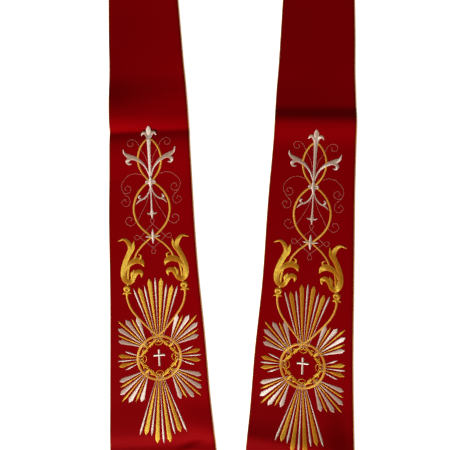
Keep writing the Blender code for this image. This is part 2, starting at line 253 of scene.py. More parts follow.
# Distance from the hem, and how far the strip strays outward there.
SWAY_MM = {
    LEFT: ((0, -1.2), (100, -0.35), (140, 0.4), (250, 0.5), (420, 1.9), (600, -1.3),
           (650, -1.4), (720, -0.5), (900, 0), (1120, 0), (1400, 0)),
    RIGHT: ((0, -1.0), (80, -0.7), (140, -0.5), (185, -0.9), (230, -1.2), (280, -0.5),
            (320, 0.3), (480, 0.2), (580, 1.3), (640, -0.1), (720, -0.9), (800, -2.4),
            (960, -1.6), (1130, 0), (1400, 0)),
}
print("widths at the hem and at the nape:", WIDTHS_MM[0][1], "and", WIDTHS_MM[-1][1], "mm")

# %% Read a table along a smooth curve


def smooth_table(rows, at):
    """Reads a two-column table along a smooth curve through its rows."""
    x, y = np.array(rows, float).T
    slope = np.gradient(y, x)
    k = np.clip(np.searchsorted(x, at, side="right") - 1, 0, len(x) - 2)
    run = x[k + 1] - x[k]
    t = (at - x[k]) / run
    level = y[k] * (1 + 2 * t) * (1 - t) ** 2 + y[k + 1] * t * t * (3 - 2 * t)
    return level + (slope[k] * t * (1 - t) ** 2 - slope[k + 1] * t * t * (1 - t)) * run


print("width half a metre up:", round(float(smooth_table(WIDTHS_MM, 500.0)), 1), "mm")

# %% The middle line and its length


def straight_run(side):
    return STRAIGHT_RUN + (RIGHT_DROP if side == RIGHT else 0.0)


SHOULDER = (-HEM_FROM_MIDDLE - STRAIGHT_RUN * math.sin(LEAN), STRAIGHT_RUN * math.cos(LEAN))
NECK = (
    SHOULDER[0] + NECK_RADIUS * math.sin(UPRIGHT),
    SHOULDER[1] - NECK_RADIUS * math.cos(UPRIGHT),
)
NAPE_RUN = (NECK_RADIUS * math.sin(NAPE_RISE) - NECK[0] - SEAM_GAP / 2) / math.cos(NAPE_RISE)


def whole_length(side):
    return straight_run(side) + NECK_RADIUS * TURN + NAPE_RUN


print("length of a half:", [round(whole_length(s), 3) for s in (LEFT, RIGHT)], "m")

# %% The edges of the strip


def half_width(along):
    """Half the strip's width, rounded off at the corners of the hem."""
    width = smooth_table(WIDTHS_MM, along / MM) * MM / 2
    short = np.clip(HEM_CORNER - along, 0, HEM_CORNER)
    return width - (HEM_CORNER - np.sqrt(HEM_CORNER**2 - short**2))


def to_seam(side, across, along):
    """Runs points on or back near the nape, so that the strip ends in a mitre."""
    last = np.clip(along - whole_length(side) + NAPE_RUN, 0, None) / NAPE_RUN
    return along + last * side * across * math.tan(NAPE_RISE)


print("half the width at the hem:", round(1000 * float(half_width(np.array(0.0))), 2), "mm")

# %% Lay points on a half


def strip_points(side, across, along, up):
    """Points of a half, before the stole is moved to its place on the table."""
    past = along - straight_run(side)
    angle = UPRIGHT - np.clip(past / NECK_RADIUS, 0, TURN)
    ahead = np.minimum(past, 0) + np.maximum(past - NECK_RADIUS * TURN, 0)
    out = side * across + smooth_table(SWAY_MM[side], along / MM) * MM
    x = NECK[0] - (NECK_RADIUS + out) * np.sin(angle) + ahead * np.cos(angle)
    y = NECK[1] + (NECK_RADIUS + out) * np.cos(angle) + ahead * np.sin(angle)
    return np.stack(np.broadcast_arrays(-side * x, y, up), axis=-1)


hem_end = strip_points(RIGHT, half_width(0.0) * np.array((-1, 1)), np.zeros(2), np.zeros(2))
HOME = (
    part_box("panel_left")[1].x + SEAM_GAP / 2,
    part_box("panel_right")[0].y - hem_end[:, 1].min(),
    0.0,
)


def on_stole(side, across, along, up):
    """Points of a half, where they lie in the shared frame."""
    return strip_points(side, across, along, up) + np.array(HOME)


print("moved to its place by:", [round(1000 * h, 2) for h in HOME], "mm")

# %% [markdown]
# ## The creases
#
# The stole was kept folded in a box, and each fold left a crease across the
# panel. A real crease isn't a line but a long, low hump with two flanks of its
# own, and these may be soft, rolled, drawn out or sharp. A cloth simulation
# could drape it, but would put the humps where it likes. So each hump is one row
# of a table. Near each hem the cloth also stands up in oval swellings.

# %% A table of creases

# Crest from the hem, rise at the left and at the right edge, reach towards the
# hem and towards the neck, form of each flank, climb for each metre across.
CREASES_MM = {
    LEFT: (
        (62, 1.0, 0.7, 44, 16, "soft", "roll", 0.03),
        (100, 1.3, 1.9, 23, 50, "soft", "soft", 0.03),
        (546.5, 2.6, 2.2, 60, 20, "soft", "roll", -0.005),
        (612, 2.2, 1.2, 44, 44, "roll", "soft", -0.005),
        (592, 4.4, 2.5, 24, 230, "roll", "soft", -0.005),
        (1043, 1.2, 1.2, 27, 18, "soft", "soft", 0.0),
        (1078, 3.6, 3.6, 17, 40, "roll", "soft", 0.0),
    ),
    RIGHT: (
        (95, 2.6, 2.1, 36, 40, "long", "sharp", -0.105),
        (588.5, 4.5, 4.5, 46, 25, "long", "soft", 0.03),
        (610, 1.6, 0.8, 40, 180, "soft", "soft", 0.0),
        (1088, 4.0, 4.0, 40, 30, "sharp", "sharp", 0.0),
    ),
}
# Place across and along, rise, reach across, reach towards the hem and towards the
# neck, and climb for each metre across, of each oval swelling.
SWELLINGS_MM = {
    LEFT: ((39, 74.5, 2.2, 29, 22, 10, 0.36), (52, 113, 1.0, 32, 20, 45, 0.0)),
    RIGHT: ((43, 74, 4.6, 38, 100, 100, 0.0),),
}
print("creases on each half:", [len(CREASES_MM[side]) for side in (LEFT, RIGHT)])

# %% The forms of a flank
CREST_ROUNDING = 0.12


def soft_flank(t):
    return (1 + np.cos(np.pi * t)) / 2


def rolled_flank(t):
    return np.cos(np.pi * t / 2)


def long_flank(t):
    return (1 - t) ** 3 * (1 + 3 * t)


def sharp_flank(t):
    """Falls steeply from the crest, whose very edge is rounded off."""
    fallen = np.sqrt(t * t + CREST_ROUNDING**2 * (1 - t) ** 2)
    return (1 - fallen) ** 2 / (1 - CREST_ROUNDING) ** 2


FLANKS = {"soft": soft_flank, "roll": rolled_flank, "long": long_flank, "sharp": sharp_flank}
print("height halfway down:", {name: round(float(form(0.5)), 2) for name, form in FLANKS.items()})

# %% How high the cloth stands
CLIMB_REACH = 0.090


def climb_at(side, along):
    """How much a crease climbs along the panel, for each metre across it."""
    climbs = np.zeros_like(along)
    for crest, *_, climb in CREASES_MM[side]:
        share = np.clip(1 - np.abs(along - crest * MM) / CLIMB_REACH, 0, 1)
        climbs = np.where(np.abs(climb * share) > np.abs(climbs), climb * share, climbs)
    return climbs


def lift_of(side, across, along):
    """Height of the cloth's underside above the table."""
    right = np.clip(0.5 + across / (2 * half_width(along)), 0, 1)
    level = along - climb_at(side, along) * across
    total = np.zeros_like(level)
    for crest, left_rise, right_rise, below, above, below_form, above_form, _ in CREASES_MM[side]:
        off = level / MM - crest
        low = FLANKS[below_form](np.clip(-off / below, 0, 1))
        high = FLANKS[above_form](np.clip(off / above, 0, 1))
        total += (left_rise + (right_rise - left_rise) * right) * MM * np.where(off < 0, low, high)
    for aside, ahead, rise, wide, below, above, climb in SWELLINGS_MM[side]:
        off = along / MM - ahead - climb * (across / MM - aside)
        far = np.hypot((across / MM - aside) / wide, off / np.where(off < 0, below, above))
        total += rise * MM * FLANKS["soft"](np.clip(far, 0, 1))
    return total


def cloth_top(side, across, along):
    """Height of the cloth's upper face, where thread can be sewn to it."""
    return lift_of(side, across, along) + WALL


every_mm = np.arange(0, 1.3, MM)
heights = [float(lift_of(side, np.zeros(len(every_mm)), every_mm).max()) for side in (LEFT, RIGHT)]
print("highest crease on each half:", [round(1000 * h, 2) for h in heights], "mm")

# %% [markdown]
# ## The satin finish
#
# This is polyester satin, dyed deep red and woven so that its threads float over
# several others before they dip. The floats run the length of the stole, so
# their shine spreads sideways, in broad bands that follow the creases. The shine
# is red too, because the light has gone into the dyed fibre and out again, and a
# red tint on the shine does that. A sheen layer would instead light up its
# edges, as on velvet. Painted shade darkens the red along each panel, from a table
# of brightness: most in a band at the upper crease, less above it and at the hem,
# and more on the right panel than on the left. The red is also painted darker
# just at its rolled edge, as shade.

# %% The painted shade on the satin

# Distance from the hem, and how bright the red is painted there at the left and
# at the right edge: a painted shade on the dye.
PAINTED_SHADE = {
    LEFT: ((0, 0.83, 0.9), (160, 0.86, 1.0), (500, 0.92, 1.04), (570, 0.94, 0.98),
           (580, 0.94, 0.9), (590, 0.9, 0.88), (597, 0.82, 0.97), (604, 0.7, 1.0),
           (616, 0.57, 1.03), (630, 0.58, 1.03), (641, 0.66, 1.05), (660, 0.77, 1.04),
           (690, 0.84, 0.94), (1400, 0.8, 0.86)),
    RIGHT: ((0, 0.71, 0.78), (120, 0.75, 0.76), (146, 0.72, 0.77), (160, 0.8, 0.84),
            (180, 0.88, 0.92), (500, 0.9, 0.92), (570, 0.88, 0.9), (604, 0.66, 0.7),
            (635, 0.66, 0.76), (660, 0.77, 0.8), (1400, 0.7, 0.74)),
}


def painted_shade_at(side, across, along):
    """How bright the red is painted at each point: a painted shade on the dye."""
    far, left, right = np.array(PAINTED_SHADE[side]).T
    share = np.clip(0.5 + across / (2 * half_width(along)), 0, 1)
    left = np.interp(along / MM, far, left)
    return left + (np.interp(along / MM, far, right) - left) * share


middles = [float(painted_shade_at(side, np.array(0.0), np.array(0.616))) for side in (LEFT, RIGHT)]
print("brightness at the upper crease:", [round(m, 2) for m in middles])

# %% Red satin

# The real floats are 0.2 mm across, too fine to show, so they are drawn coarser.
FLOAT_MM = 0.8
FLOAT_LENGTH_MM = 8 * FLOAT_MM
# The dye took a little unevenly, in blotches of this size in metres.
BLOTCH = 0.0625
MULTIPLY = {"data_type": "RGBA", "blend_type": "MULTIPLY", "Factor": 1.0}


def dyed_satin():
    finish, shader = new_finish("Dyed polyester satin", {
        "Metallic": 0.18, "Roughness": 0.6, "Anisotropic": 0.5,
        "IOR": 1.54, "Specular IOR Level": 0.05, "Specular Tint": colour("ff2020"),
    })
    where = add_node(finish, "ShaderNodeTexCoord")
    blotch = add_node(finish, "ShaderNodeTexNoise", {"Scale": 1 / BLOTCH, "Detail": 3.0},
                      {"Vector": where.outputs["Object"]})
    dye = add_node(finish, "ShaderNodeMix",
                   {"data_type": "RGBA", 6: colour("7c0004"), 7: colour("840005")},
                   {"Factor": blotch.outputs["Fac"]})
    # Painted shade: the dye is darkened within 5 mm of the rolled edge.
    edge = add_node(finish, "ShaderNodeAttribute", {"attribute_name": "from_edge_mm"})
    near = add_node(finish, "ShaderNodeMapRange",
                    {"From Min": 0.4, "From Max": 5.0, "To Min": 0.8, "To Max": 1.0,
                     "interpolation_type": "SMOOTHSTEP"},
                    {"Value": edge.outputs["Fac"]})
    edge_shaded_dye = add_node(finish, "ShaderNodeMix", MULTIPLY, {6: dye.outputs[2], 7: near.outputs["Result"]})
    # Painted shade: the dye is darkened by the table of painted shade along the panel.
    painted_shade_node = add_node(finish, "ShaderNodeAttribute", {"attribute_name": "painted_shade"})
    dye_and_painted_shade = add_node(finish, "ShaderNodeMix", MULTIPLY, {6: edge_shaded_dye.outputs[2], 7: painted_shade_node.outputs["Fac"]})
    finish.node_tree.links.new(dye_and_painted_shade.outputs[2], shader.inputs["Base Color"])
    stretch = add_node(finish, "ShaderNodeMapping",
                       {"Scale": (1 / FLOAT_MM, 1 / FLOAT_LENGTH_MM, 1.0)},
                       {"Vector": where.outputs["UV"]})
    floats = add_node(finish, "ShaderNodeTexNoise", {"Scale": 1.0, "Detail": 2.0},
                      {"Vector": stretch.outputs["Vector"]})
    bump = add_node(finish, "ShaderNodeBump", {"Strength": 0.25, "Distance": 0.0002},
                    {"Height": floats.outputs["Fac"]})
    finish.node_tree.links.new(bump.outputs["Normal"], shader.inputs["Normal"])
    grain = add_node(finish, "ShaderNodeTangent", {"direction_type": "UV_MAP", "uv_map": "UVMap"})
    finish.node_tree.links.new(grain.outputs["Tangent"], shader.inputs["Tangent"])
    return finish


satin = dyed_satin()
print("made:", satin.name)

# %% [markdown]
# ## Metal thread
#
# Gold and silver embroidery is worked with a thin ribbon of metal foil under a
# clear film, wound round a rayon core. Laid side by side, the threads act as a
# row of tiny mirrors shaped like rods, so the shine stretches along the stroke
# that they cross. To model each thread would take millions of faces. An
# anisotropic shader does the same, with its direction taken from the UV map.
# Seen off the shine a gilt thread is brown, and it flashes yellow, so the base
# is brown and the strong shine of the film is tinted. Rows of stitches also
# catch the light in short streaks, painted into the colour as lighter and darker
# streaks, and each stitch ends in a small needle hole.

# %% Metal thread

# The real thread is 0.3 mm thick, too fine to show, so it is drawn coarser.
THREAD_MM = 0.45
# At scale 1 a wave node has a band every pi / 10, and the UV map is in mm.
WAVE_AT_1_MM = 0.314
# Length and width of a painted streak of light, and how far apart the needle holes are.
STREAK_MM = (4.0, 0.625)
PRICK_MM = 1.25
# The outer stitches lie flatter than the fill, and their colour is painted apart
# from it, lighter on gold and silver as a painted highlight along the rim.
RIM_ENDS_MM = 0.8
FILL_STARTS_MM = 1.5


def metal_thread(name, rim, fill, fleck, sockets):
    """Thread laid in strokes: its colours at the rim, within, and at a needle hole; a lighter rim is a
    painted highlight.
    """
    finish, shader = new_finish(name, sockets)
    where = add_node(finish, "ShaderNodeTexCoord")
    from_rim = add_node(finish, "ShaderNodeAttribute", {"attribute_name": "from_rim_mm"})
    inside = add_node(finish, "ShaderNodeMapRange",
                      {"From Min": RIM_ENDS_MM, "From Max": FILL_STARTS_MM,
                       "interpolation_type": "SMOOTHSTEP"},
                      {"Value": from_rim.outputs["Fac"]})
    # A rim colour lighter than the fill is a painted highlight along the stroke's edge.
    laid = add_node(finish, "ShaderNodeMix", {"data_type": "RGBA", 6: colour(rim), 7: colour(fill)},
                    {"Factor": inside.outputs["Result"]})
    streaks = add_node(finish, "ShaderNodeMapping", {"Scale": (1 / STREAK_MM[0], 1 / STREAK_MM[1], 1.0)},
                       {"Vector": where.outputs["UV"]})
    streak = add_node(finish, "ShaderNodeTexNoise", {"Scale": 1.0, "Detail": 2.0},
                      {"Vector": streaks.outputs["Vector"]})
    # Painted light and shade: the colour is made lighter and darker in streaks along the rows.
    shade = add_node(finish, "ShaderNodeMapRange",
                     {"From Min": 0.3, "From Max": 0.7, "To Min": 0.74, "To Max": 1.14},
                     {"Value": streak.outputs["Fac"]})
    shaded = add_node(finish, "ShaderNodeMix", MULTIPLY, {6: laid.outputs[2], 7: shade.outputs["Result"]})
    hole = add_node(finish, "ShaderNodeTexNoise", {"Scale": 1 / PRICK_MM, "Detail": 1.0},
                    {"Vector": where.outputs["UV"]})
    sparse = add_node(finish, "ShaderNodeMapRange", {"From Min": 0.54, "From Max": 0.68},
                      {"Value": hole.outputs["Fac"]})
    pricks = add_node(finish, "ShaderNodeMath", {"operation": "MULTIPLY"},
                      {0: sparse.outputs["Result"], 1: inside.outputs["Result"]})
    pricked = add_node(finish, "ShaderNodeMix", {"data_type": "RGBA", 7: colour(fleck)},
                       {"Factor": pricks.outputs["Value"], 6: shaded.outputs[2]})
    finish.node_tree.links.new(pricked.outputs[2], shader.inputs["Base Color"])
    rods = add_node(finish, "ShaderNodeTexWave",
                    {"Scale": WAVE_AT_1_MM / THREAD_MM, "Distortion": 1.5, "Detail": 1.0},
                    {"Vector": where.outputs["UV"]})
    bump = add_node(finish, "ShaderNodeBump", {"Strength": 0.3, "Distance": 0.0002},
                    {"Height": rods.outputs["Fac"]})
    finish.node_tree.links.new(bump.outputs["Normal"], shader.inputs["Normal"])
    grain = add_node(finish, "ShaderNodeTangent", {"direction_type": "UV_MAP", "uv_map": "UVMap"})
    finish.node_tree.links.new(grain.outputs["Tangent"], shader.inputs["Tangent"])
    return finish


print("threads to a centimetre:", round(10 / THREAD_MM))

# %% [markdown]
# ## The threads of this stole
#
# Laid gilt thread flashes most. The ring and the ribbons are of gilt braid,
# which is plaited, so its shine is rounder and less strong. The silvered thread
# has aged to a warm grey, and a strong, nearly white shine brings it up again.
# The piping is an old gold cord with no film on it, and nearly dull. The scroll
# lines are one thin silvered thread that lets the red beneath show through.

# %% Gold, silver and braid
# Gold and silver have a rim colour a little lighter than the fill: a painted highlight.
gold = metal_thread("Gilt thread", "b46610", "a85a04", "5e2c00",
                    {"IOR": 2.1, "Specular IOR Level": 1.0, "Specular Tint": colour("ffee5e"),
                     "Roughness": 0.6, "Anisotropic": 0.88})
gold_braid = metal_thread("Gilt braid", "bc7224", "bc7224", "6a3608",
                          {"IOR": 2.1, "Specular IOR Level": 0.7, "Specular Tint": colour("ffe868"),
                           "Roughness": 0.6, "Anisotropic": 0.7})
silver = metal_thread("Silvered thread", "b4907a", "ac8670", "80604a",
                      {"IOR": 2.2, "Specular IOR Level": 1.0, "Specular Tint": colour("fffbf0"),
                       "Roughness": 0.6, "Anisotropic": 0.88})
cord_gold = metal_thread("Old gold cord", "b27c3c", "b27c3c", "7a4c1c",
                         {"Metallic": 0.2, "Roughness": 0.7, "Specular IOR Level": 0.1, "Anisotropic": 0.3})
fine_silver = metal_thread("Fine silvered thread", "aa6654", "aa6654", "80604a",
                           {"IOR": 1.6, "Specular IOR Level": 0.3, "Roughness": 0.6, "Anisotropic": 0.5})
threads = (gold, gold_braid, silver, cord_gold, fine_silver)
print("made:", ", ".join(thread.name for thread in threads))

# %% [markdown]
# ## The satin panels
#
# A panel is a strip of satin over interlining and backing, 2 mm thick in all,
# with its raw edges turned in. A solidify modifier would give it a square edge.
# So it starts as a flat grid whose rows run across the strip, and each row is
# wrapped right round the cloth: over the top, down the rolled edge, back along
# the underside. That gives a closed shell with even faces.

# %% Shape a flat grid


def grid_of(name, rows, columns):
    """A flat grid with so many rows and columns of points."""
    bpy.ops.object.select_all(action="DESELECT")
    bpy.ops.mesh.primitive_grid_add(x_subdivisions=columns - 1, y_subdivisions=rows - 1, size=1)
    grid = bpy.context.object
    grid.name = name
    grid.data.name = name
    return grid


def shape_grid(grid, points, uv):
    """Moves the grid's points to their places, row by row, and sets their UVs."""
    grid.data.vertices.foreach_set("co", np.asarray(points, float).reshape(-1))
    corners = np.zeros(len(grid.data.loops), int)
    grid.data.loops.foreach_get("vertex_index", corners)
    flat = np.asarray(uv, float).reshape(-1, 2)[corners]
    grid.data.uv_layers["UVMap"].data.foreach_set("uv", flat.reshape(-1))
    grid.data.update()


def mark_points(piece, name, values):
    """Writes one number for each point, which a finish can read by its name."""
    mark = piece.data.attributes.new(name, "FLOAT", "POINT")
    mark.data.foreach_set("value", values.reshape(-1))


trial = grid_of("trial", 3, 4)
print("a trial grid of 3 rows and 4 columns has", len(trial.data.vertices), "points")
bpy.data.objects.remove(trial)

# %% Close a wrapped grid
CRISP_ANGLE = math.radians(50)


def merge_doubles(piece):
    """Welds the edge where a wrapped grid meets itself."""
    bpy.ops.object.select_all(action="DESELECT")
    bpy.context.view_layer.objects.active = piece
    piece.select_set(True)
    bpy.ops.object.mode_set(mode="EDIT")
    bpy.ops.mesh.select_all(action="SELECT")
    bpy.ops.mesh.remove_doubles(threshold=1e-7)
    bpy.ops.object.mode_set(mode="OBJECT")


def close_ends(piece):
    """Closes the open ends, and turns every face outward."""
    bpy.ops.object.select_all(action="DESELECT")
    bpy.context.view_layer.objects.active = piece
    piece.select_set(True)
    bpy.ops.object.mode_set(mode="EDIT")
    bpy.ops.mesh.select_all(action="SELECT")
    bpy.ops.mesh.fill_holes(sides=0)
    bpy.ops.mesh.normals_make_consistent(inside=False)
    bpy.ops.object.mode_set(mode="OBJECT")
    bpy.ops.object.shade_smooth_by_angle(angle=CRISP_ANGLE)


def count_faces(piece):
    """How many triangles a piece has."""
    return sum(len(face.vertices) - 2 for face in piece.data.polygons)


print("edges sharper than", round(math.degrees(CRISP_ANGLE)), "degrees stay crisp")

# %% One row across a panel
EDGE_STEPS_MM = (0.0, 0.35, 0.9, 1.6, 2.6, 4.0)
# Distance from the edge and height of each point down the rolled edge.
TUCK_MM = ((0.0, 0.55), (0.12, 0.15), (0.5, 0.0))
MIDDLE_COLUMNS = 27
UNDER_COLUMNS = 9
UNDER_INSET = 0.001


def panel_columns(half):
    """Where the points of one row lie: across the strip, and their height."""
    edge = np.array(EDGE_STEPS_MM) * MM
    middle = np.linspace(-1, 1, MIDDLE_COLUMNS)[1:-1] * (half - edge[-1])
    top = np.concatenate((-half + edge, middle, (half - edge)[::-1]))
    tuck = [(half - e * MM, z * MM) for e, z in TUCK_MM]
    under = np.linspace(half - UNDER_INSET, -half + UNDER_INSET, UNDER_COLUMNS)
    down, up = [z for _, z in tuck], [z for _, z in tuck[::-1]]
    across = np.concatenate((top, [a for a, _ in tuck], under, [-a for a, _ in tuck[::-1]], [top[0]]))
    height = np.concatenate((np.full(len(top), WALL), down, np.zeros(UNDER_COLUMNS), up, [WALL]))
    return across, height


print("points in a row:", len(panel_columns(0.05)[0]))

# %% The two panels
ROW_STEP = 0.003
CORNER_ROWS = 6
ROLL_REACH_MM = 4.0
ROLL_DROP = 0.0006
SEAM_REACH = 0.002
SEAM_CLOSING = 0.00013
# The underside counts as this far from the edge, so it gets the painted shade of the edge.
UNDER_MM = 0.5


def panel_of(side):
    """The satin of one half, wrapped round from a flat grid."""
    whole = whole_length(side) + SEAM_CLOSING
    corner = HEM_CORNER * (1 - np.cos(np.linspace(0, math.pi / 2, CORNER_ROWS)))
    rows = np.arange(HEM_CORNER + ROW_STEP / 2, whole - ROW_STEP / 2, ROW_STEP)
    along = np.concatenate((corner, rows, [whole]))
    across, height = (np.array(part) for part in zip(*[panel_columns(h) for h in half_width(along)]))
    along = np.repeat(along[:, None], across.shape[1], axis=1)
    from_edge = np.minimum(np.abs(half_width(along) - np.abs(across)), along)
    on_top = height == WALL
    rolled = ROLL_DROP * np.clip(1 - from_edge / MM / ROLL_REACH_MM, 0, 1) ** 2
    seam = ROLL_DROP * np.clip(1 - (whole - along) / SEAM_REACH, 0, 1) ** 2
    height = np.where(on_top, height - np.maximum(rolled, seam), height)
    along = to_seam(side, across, along)
    points = on_stole(side, across, along, lift_of(side, across, along) + height)
    panel = grid_of(f"satin_{SIDE_NAMES[side]}", *across.shape)
    shape_grid(panel, points, np.stack((across / MM, along / MM), axis=-1))
    mark_points(panel, "from_edge_mm", np.where(on_top, from_edge / MM, UNDER_MM))
    # The painted shade at each point, which the satin's finish reads.
    mark_points(panel, "painted_shade", painted_shade_at(side, across, along))
    merge_doubles(panel)
    close_ends(panel)
    panel.data.materials.append(satin)
    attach(panel, "root")
    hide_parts(f"panel_{SIDE_NAMES[side]}")
    return panel


panels = {side: panel_of(side) for side in (LEFT, RIGHT)}
for panel in panels.values():
    print(panel.name, "has", count_faces(panel), "triangles")

# %% [markdown]
# ## The gold piping cord
#
# A thin twisted cord is sewn round each half: down one edge, round the hem and
# up the other, close against the cloth. It is 1.5 mm thick, and its two plies
# show a new turn every 4 mm. A curve with a round bevel would be smooth, so the
# cord is a long narrow grid wrapped into a tube whose section has two lobes, and
# the section turns as it goes along.

# %% The path of the cord
CORD_RADIUS = 0.00075
CORD_LIFT = 0.0012
CORD_TUCK = 0.0001
CORD_STEP = 0.001
BEND_ROWS = 6


def cord_path(side):
    """The middle of the cord, from the nape down, round the hem and up again."""
    off = CORD_RADIUS - CORD_TUCK
    whole = whole_length(side) - 2 * SEAM_GAP
    run = np.linspace(HEM_CORNER, whole, round(whole / CORD_STEP))
    reach = HEM_CORNER + off
    turn = np.linspace(0, math.pi / 2, BEND_ROWS, endpoint=False)[1:]
    corner = float(half_width(HEM_CORNER)) - HEM_CORNER
    hem = np.linspace(-corner, corner, round(2 * corner / CORD_STEP))
    edge = half_width(run) + off
    bend = corner + reach * np.cos(turn)
    fall = HEM_CORNER - reach * np.sin(turn)
    across = np.concatenate((-edge[::-1], -bend, hem, bend[::-1], edge))
    along = np.concatenate((run[::-1], fall, np.full(len(hem), -off), fall[::-1], run))
    along = to_seam(side, across, along)
    return on_stole(side, across, along, lift_of(side, across, along) + CORD_LIFT)


def gone_along(path):
    """How far each point of a path lies from its start."""
    return np.concatenate(([0], np.cumsum(np.linalg.norm(np.diff(path, axis=0), axis=1))))


cord_lengths = [float(gone_along(cord_path(side))[-1]) for side in (LEFT, RIGHT)]
print("cord round each half:", [round(length, 2) for length in cord_lengths], "m")

# %% The piping
CORD_PITCH = 0.004
CORD_SIDES = 8
PLIES = 2
# Radius in the groove between the plies, as a share of the whole, and how full
# the plies are.
GROOVE = 0.78
FULLNESS = 0.8


def cord_of(side):
    """The twisted cord round one half, as a tube with a lobe for each ply."""
    path = cord_path(side)
    run = np.gradient(path, axis=0)
    run /= np.linalg.norm(run, axis=1)[:, None]
    right = np.cross(run, (0, 0, 1))
    right /= np.linalg.norm(right, axis=1)[:, None]
    above = np.cross(right, run)
    gone = gone_along(path)
    turn = np.linspace(math.pi, -math.pi, CORD_SIDES + 1)[None, :]
    twist = 2 * math.pi * gone[:, None] / CORD_PITCH / PLIES
    lobes = np.abs(np.cos((turn - twist) * PLIES / 2)) ** FULLNESS
    radius = CORD_RADIUS * (GROOVE + (1 - GROOVE) * lobes)
    points = (path[:, None, :] + (radius * np.cos(turn))[:, :, None] * right[:, None, :]
              + (radius * np.sin(turn))[:, :, None] * above[:, None, :])
    cord = grid_of(f"gold_cord_{SIDE_NAMES[side]}", *points.shape[:2])
    around = np.broadcast_to((turn - twist) * CORD_RADIUS / MM, points.shape[:2])
    shape_grid(cord, points, np.stack((np.broadcast_to(gone[:, None] / MM, around.shape), around), axis=-1))
    merge_doubles(cord)
    close_ends(cord)
    cord.data.materials.append(cord_gold)
    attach(cord, "root")
    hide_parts(f"piping_{SIDE_NAMES[side]}")
    return cord


cords = {side: cord_of(side) for side in (LEFT, RIGHT)}
for cord in cords.values():
    print(cord.name, "has", count_faces(cord), "triangles")

# %% [markdown]
# ## Satin stitch
#
# Embroidery of this kind is worked in strokes. Each stroke is a row of threads
# laid side by side across it, over a little padding, so it stands up in a low
# dome. A bevelled curve could follow a stroke, but not with the rounded ends and
# the changing width of a leaf. So a stroke is a grid wrapped round its closed
# section, and it follows a row of points, each with the width there. Every
# stroke is made flat, in millimetres from the roundel's centre, as on an
# embroiderer's frame, and is laid on the cloth at the end.

# %% Follow a row of points


def follow(rows, step, rounded=True):
    """Puts more rows between the given ones, on a Catmull-Rom curve or straight."""
    rows = np.array(rows, float)
    ends = np.vstack((2 * rows[0] - rows[1], rows, 2 * rows[-1] - rows[-2]))
    curve = []
    for a, b, c, d in zip(ends, ends[1:], ends[2:], ends[3:]):
        pieces = max(1, math.ceil(np.linalg.norm((c - b)[:2]) / step))
        t = np.linspace(0, 1, pieces, endpoint=False)[:, None]
        bend = (c - a) * t + (2 * a - 5 * b + 4 * c - d) * t**2 + (3 * b - a - 3 * c + d) * t**3
        curve.append(b + (bend / 2 if rounded else (c - b) * t))
    return np.vstack((*curve, rows[-1:]))


print("rows on a bend of three points:", len(follow(((0, 0, 2), (10, 0, 3), (10, 10, 2)), 1.5)))

# %% How a stroke is worked

# The places across a stroke where it has points, from edge to edge.
DOME = (-1.0, -0.94, -0.8, -0.55, -0.28, 0.0, 0.28, 0.55, 0.8, 0.94, 1.0)
# The side walls of a stroke reach this far into the cloth.
SUNK_MM = 0.3
LEAST_WIDTH_MM = 0.25
VEIN_WIDTH = 0.12
# Where a stroke is narrower than its rise in mm, it is lower by this power.
THINNING = 0.7


def stroke(name, rows, top, edge=0.1, step=1.5, rounded=True, closed=False,
           dome=DOME, veins=(), flat=2, rise=2.4):
    """A domed stroke of thread through rows of x, y and width, all in mm."""
    rows = follow(rows, step, rounded)
    centre = rows[:, :2]
    if closed:
        run = np.roll(centre[:-1], -1, axis=0) - np.roll(centre[:-1], 1, axis=0)
        run = np.vstack((run, run[:1]))
    else:
        run = np.gradient(centre, axis=0)
    run /= np.linalg.norm(run, axis=1)[:, None]
    right = np.stack((run[:, 1], -run[:, 0]), axis=1)
    width = np.maximum(rows[:, 2], LEAST_WIDTH_MM)
    full = np.minimum(1, width / rise)[:, None] ** THINNING
    share = np.array(dome)
    crown = 1 - np.abs(share) ** flat
    for at, depth in veins:
        crown = crown * (1 - depth * np.exp(-(((share - at) / VEIN_WIDTH) ** 2)))
    heights = full * (edge + (top - edge) * crown)
    sunk = np.full((len(rows), 1), -SUNK_MM)
    heights = np.hstack((sunk, heights, sunk, sunk))
    share = np.concatenate(([-1], share, [1, -1]))
    across = share[None, :] * width[:, None] / 2
    places = centre[:, None, :] + across[:, :, None] * right[:, None, :]
    made = grid_of(name, *across.shape)
    along = np.broadcast_to(gone_along(centre)[:, None], across.shape)
    shape_grid(made, np.dstack((places, heights)) * MM, np.dstack((along, across)))
    mark_points(made, "from_rim_mm", (1 - np.abs(share))[None, :] * width[:, None] / 2)
    merge_doubles(made)
    return made


print("points on the dome of a stroke:", len(DOME))

# %% Join strokes and mirror them


def joined(name, strokes):
    """One flat piece of embroidery from its strokes, closed at their ends."""
    bpy.ops.object.select_all(action="DESELECT")
    for item in strokes:
        item.select_set(True)
    bpy.context.view_layer.objects.active = strokes[0]
    if len(strokes) > 1:
        bpy.ops.object.join()
    piece = bpy.context.object
    piece.name = name
    piece.data.name = name
    close_ends(piece)
    return piece


def mirrored(piece):
    """Adds the mirror image to a piece that was worked for one side only."""
    bpy.ops.object.select_all(action="DESELECT")
    bpy.context.view_layer.objects.active = piece
    piece.select_set(True)
    twin = piece.modifiers.new("Twin", "MIRROR")
    twin.use_axis = (True, False, False)
    twin.use_mirror_merge = False
    bpy.ops.object.modifier_apply(modifier=twin.name)
    return piece


trial = mirrored(joined("trial", [stroke("trial", ((2, 0, 1), (2, 5, 1)), top=0.3)]))
print("a short stroke and its twin have", count_faces(trial), "triangles")
bpy.data.objects.remove(trial)

# %% [markdown]
# ## Setting the embroidery on the cloth
#
# A real embroiderer works each panel in a frame, one after the other, and never
# sets it quite straight. A shrinkwrap modifier could press the flat work onto
# the cloth. But across, along and height are known for each point, so the
# function that laid down the cloth lays down the thread as well.

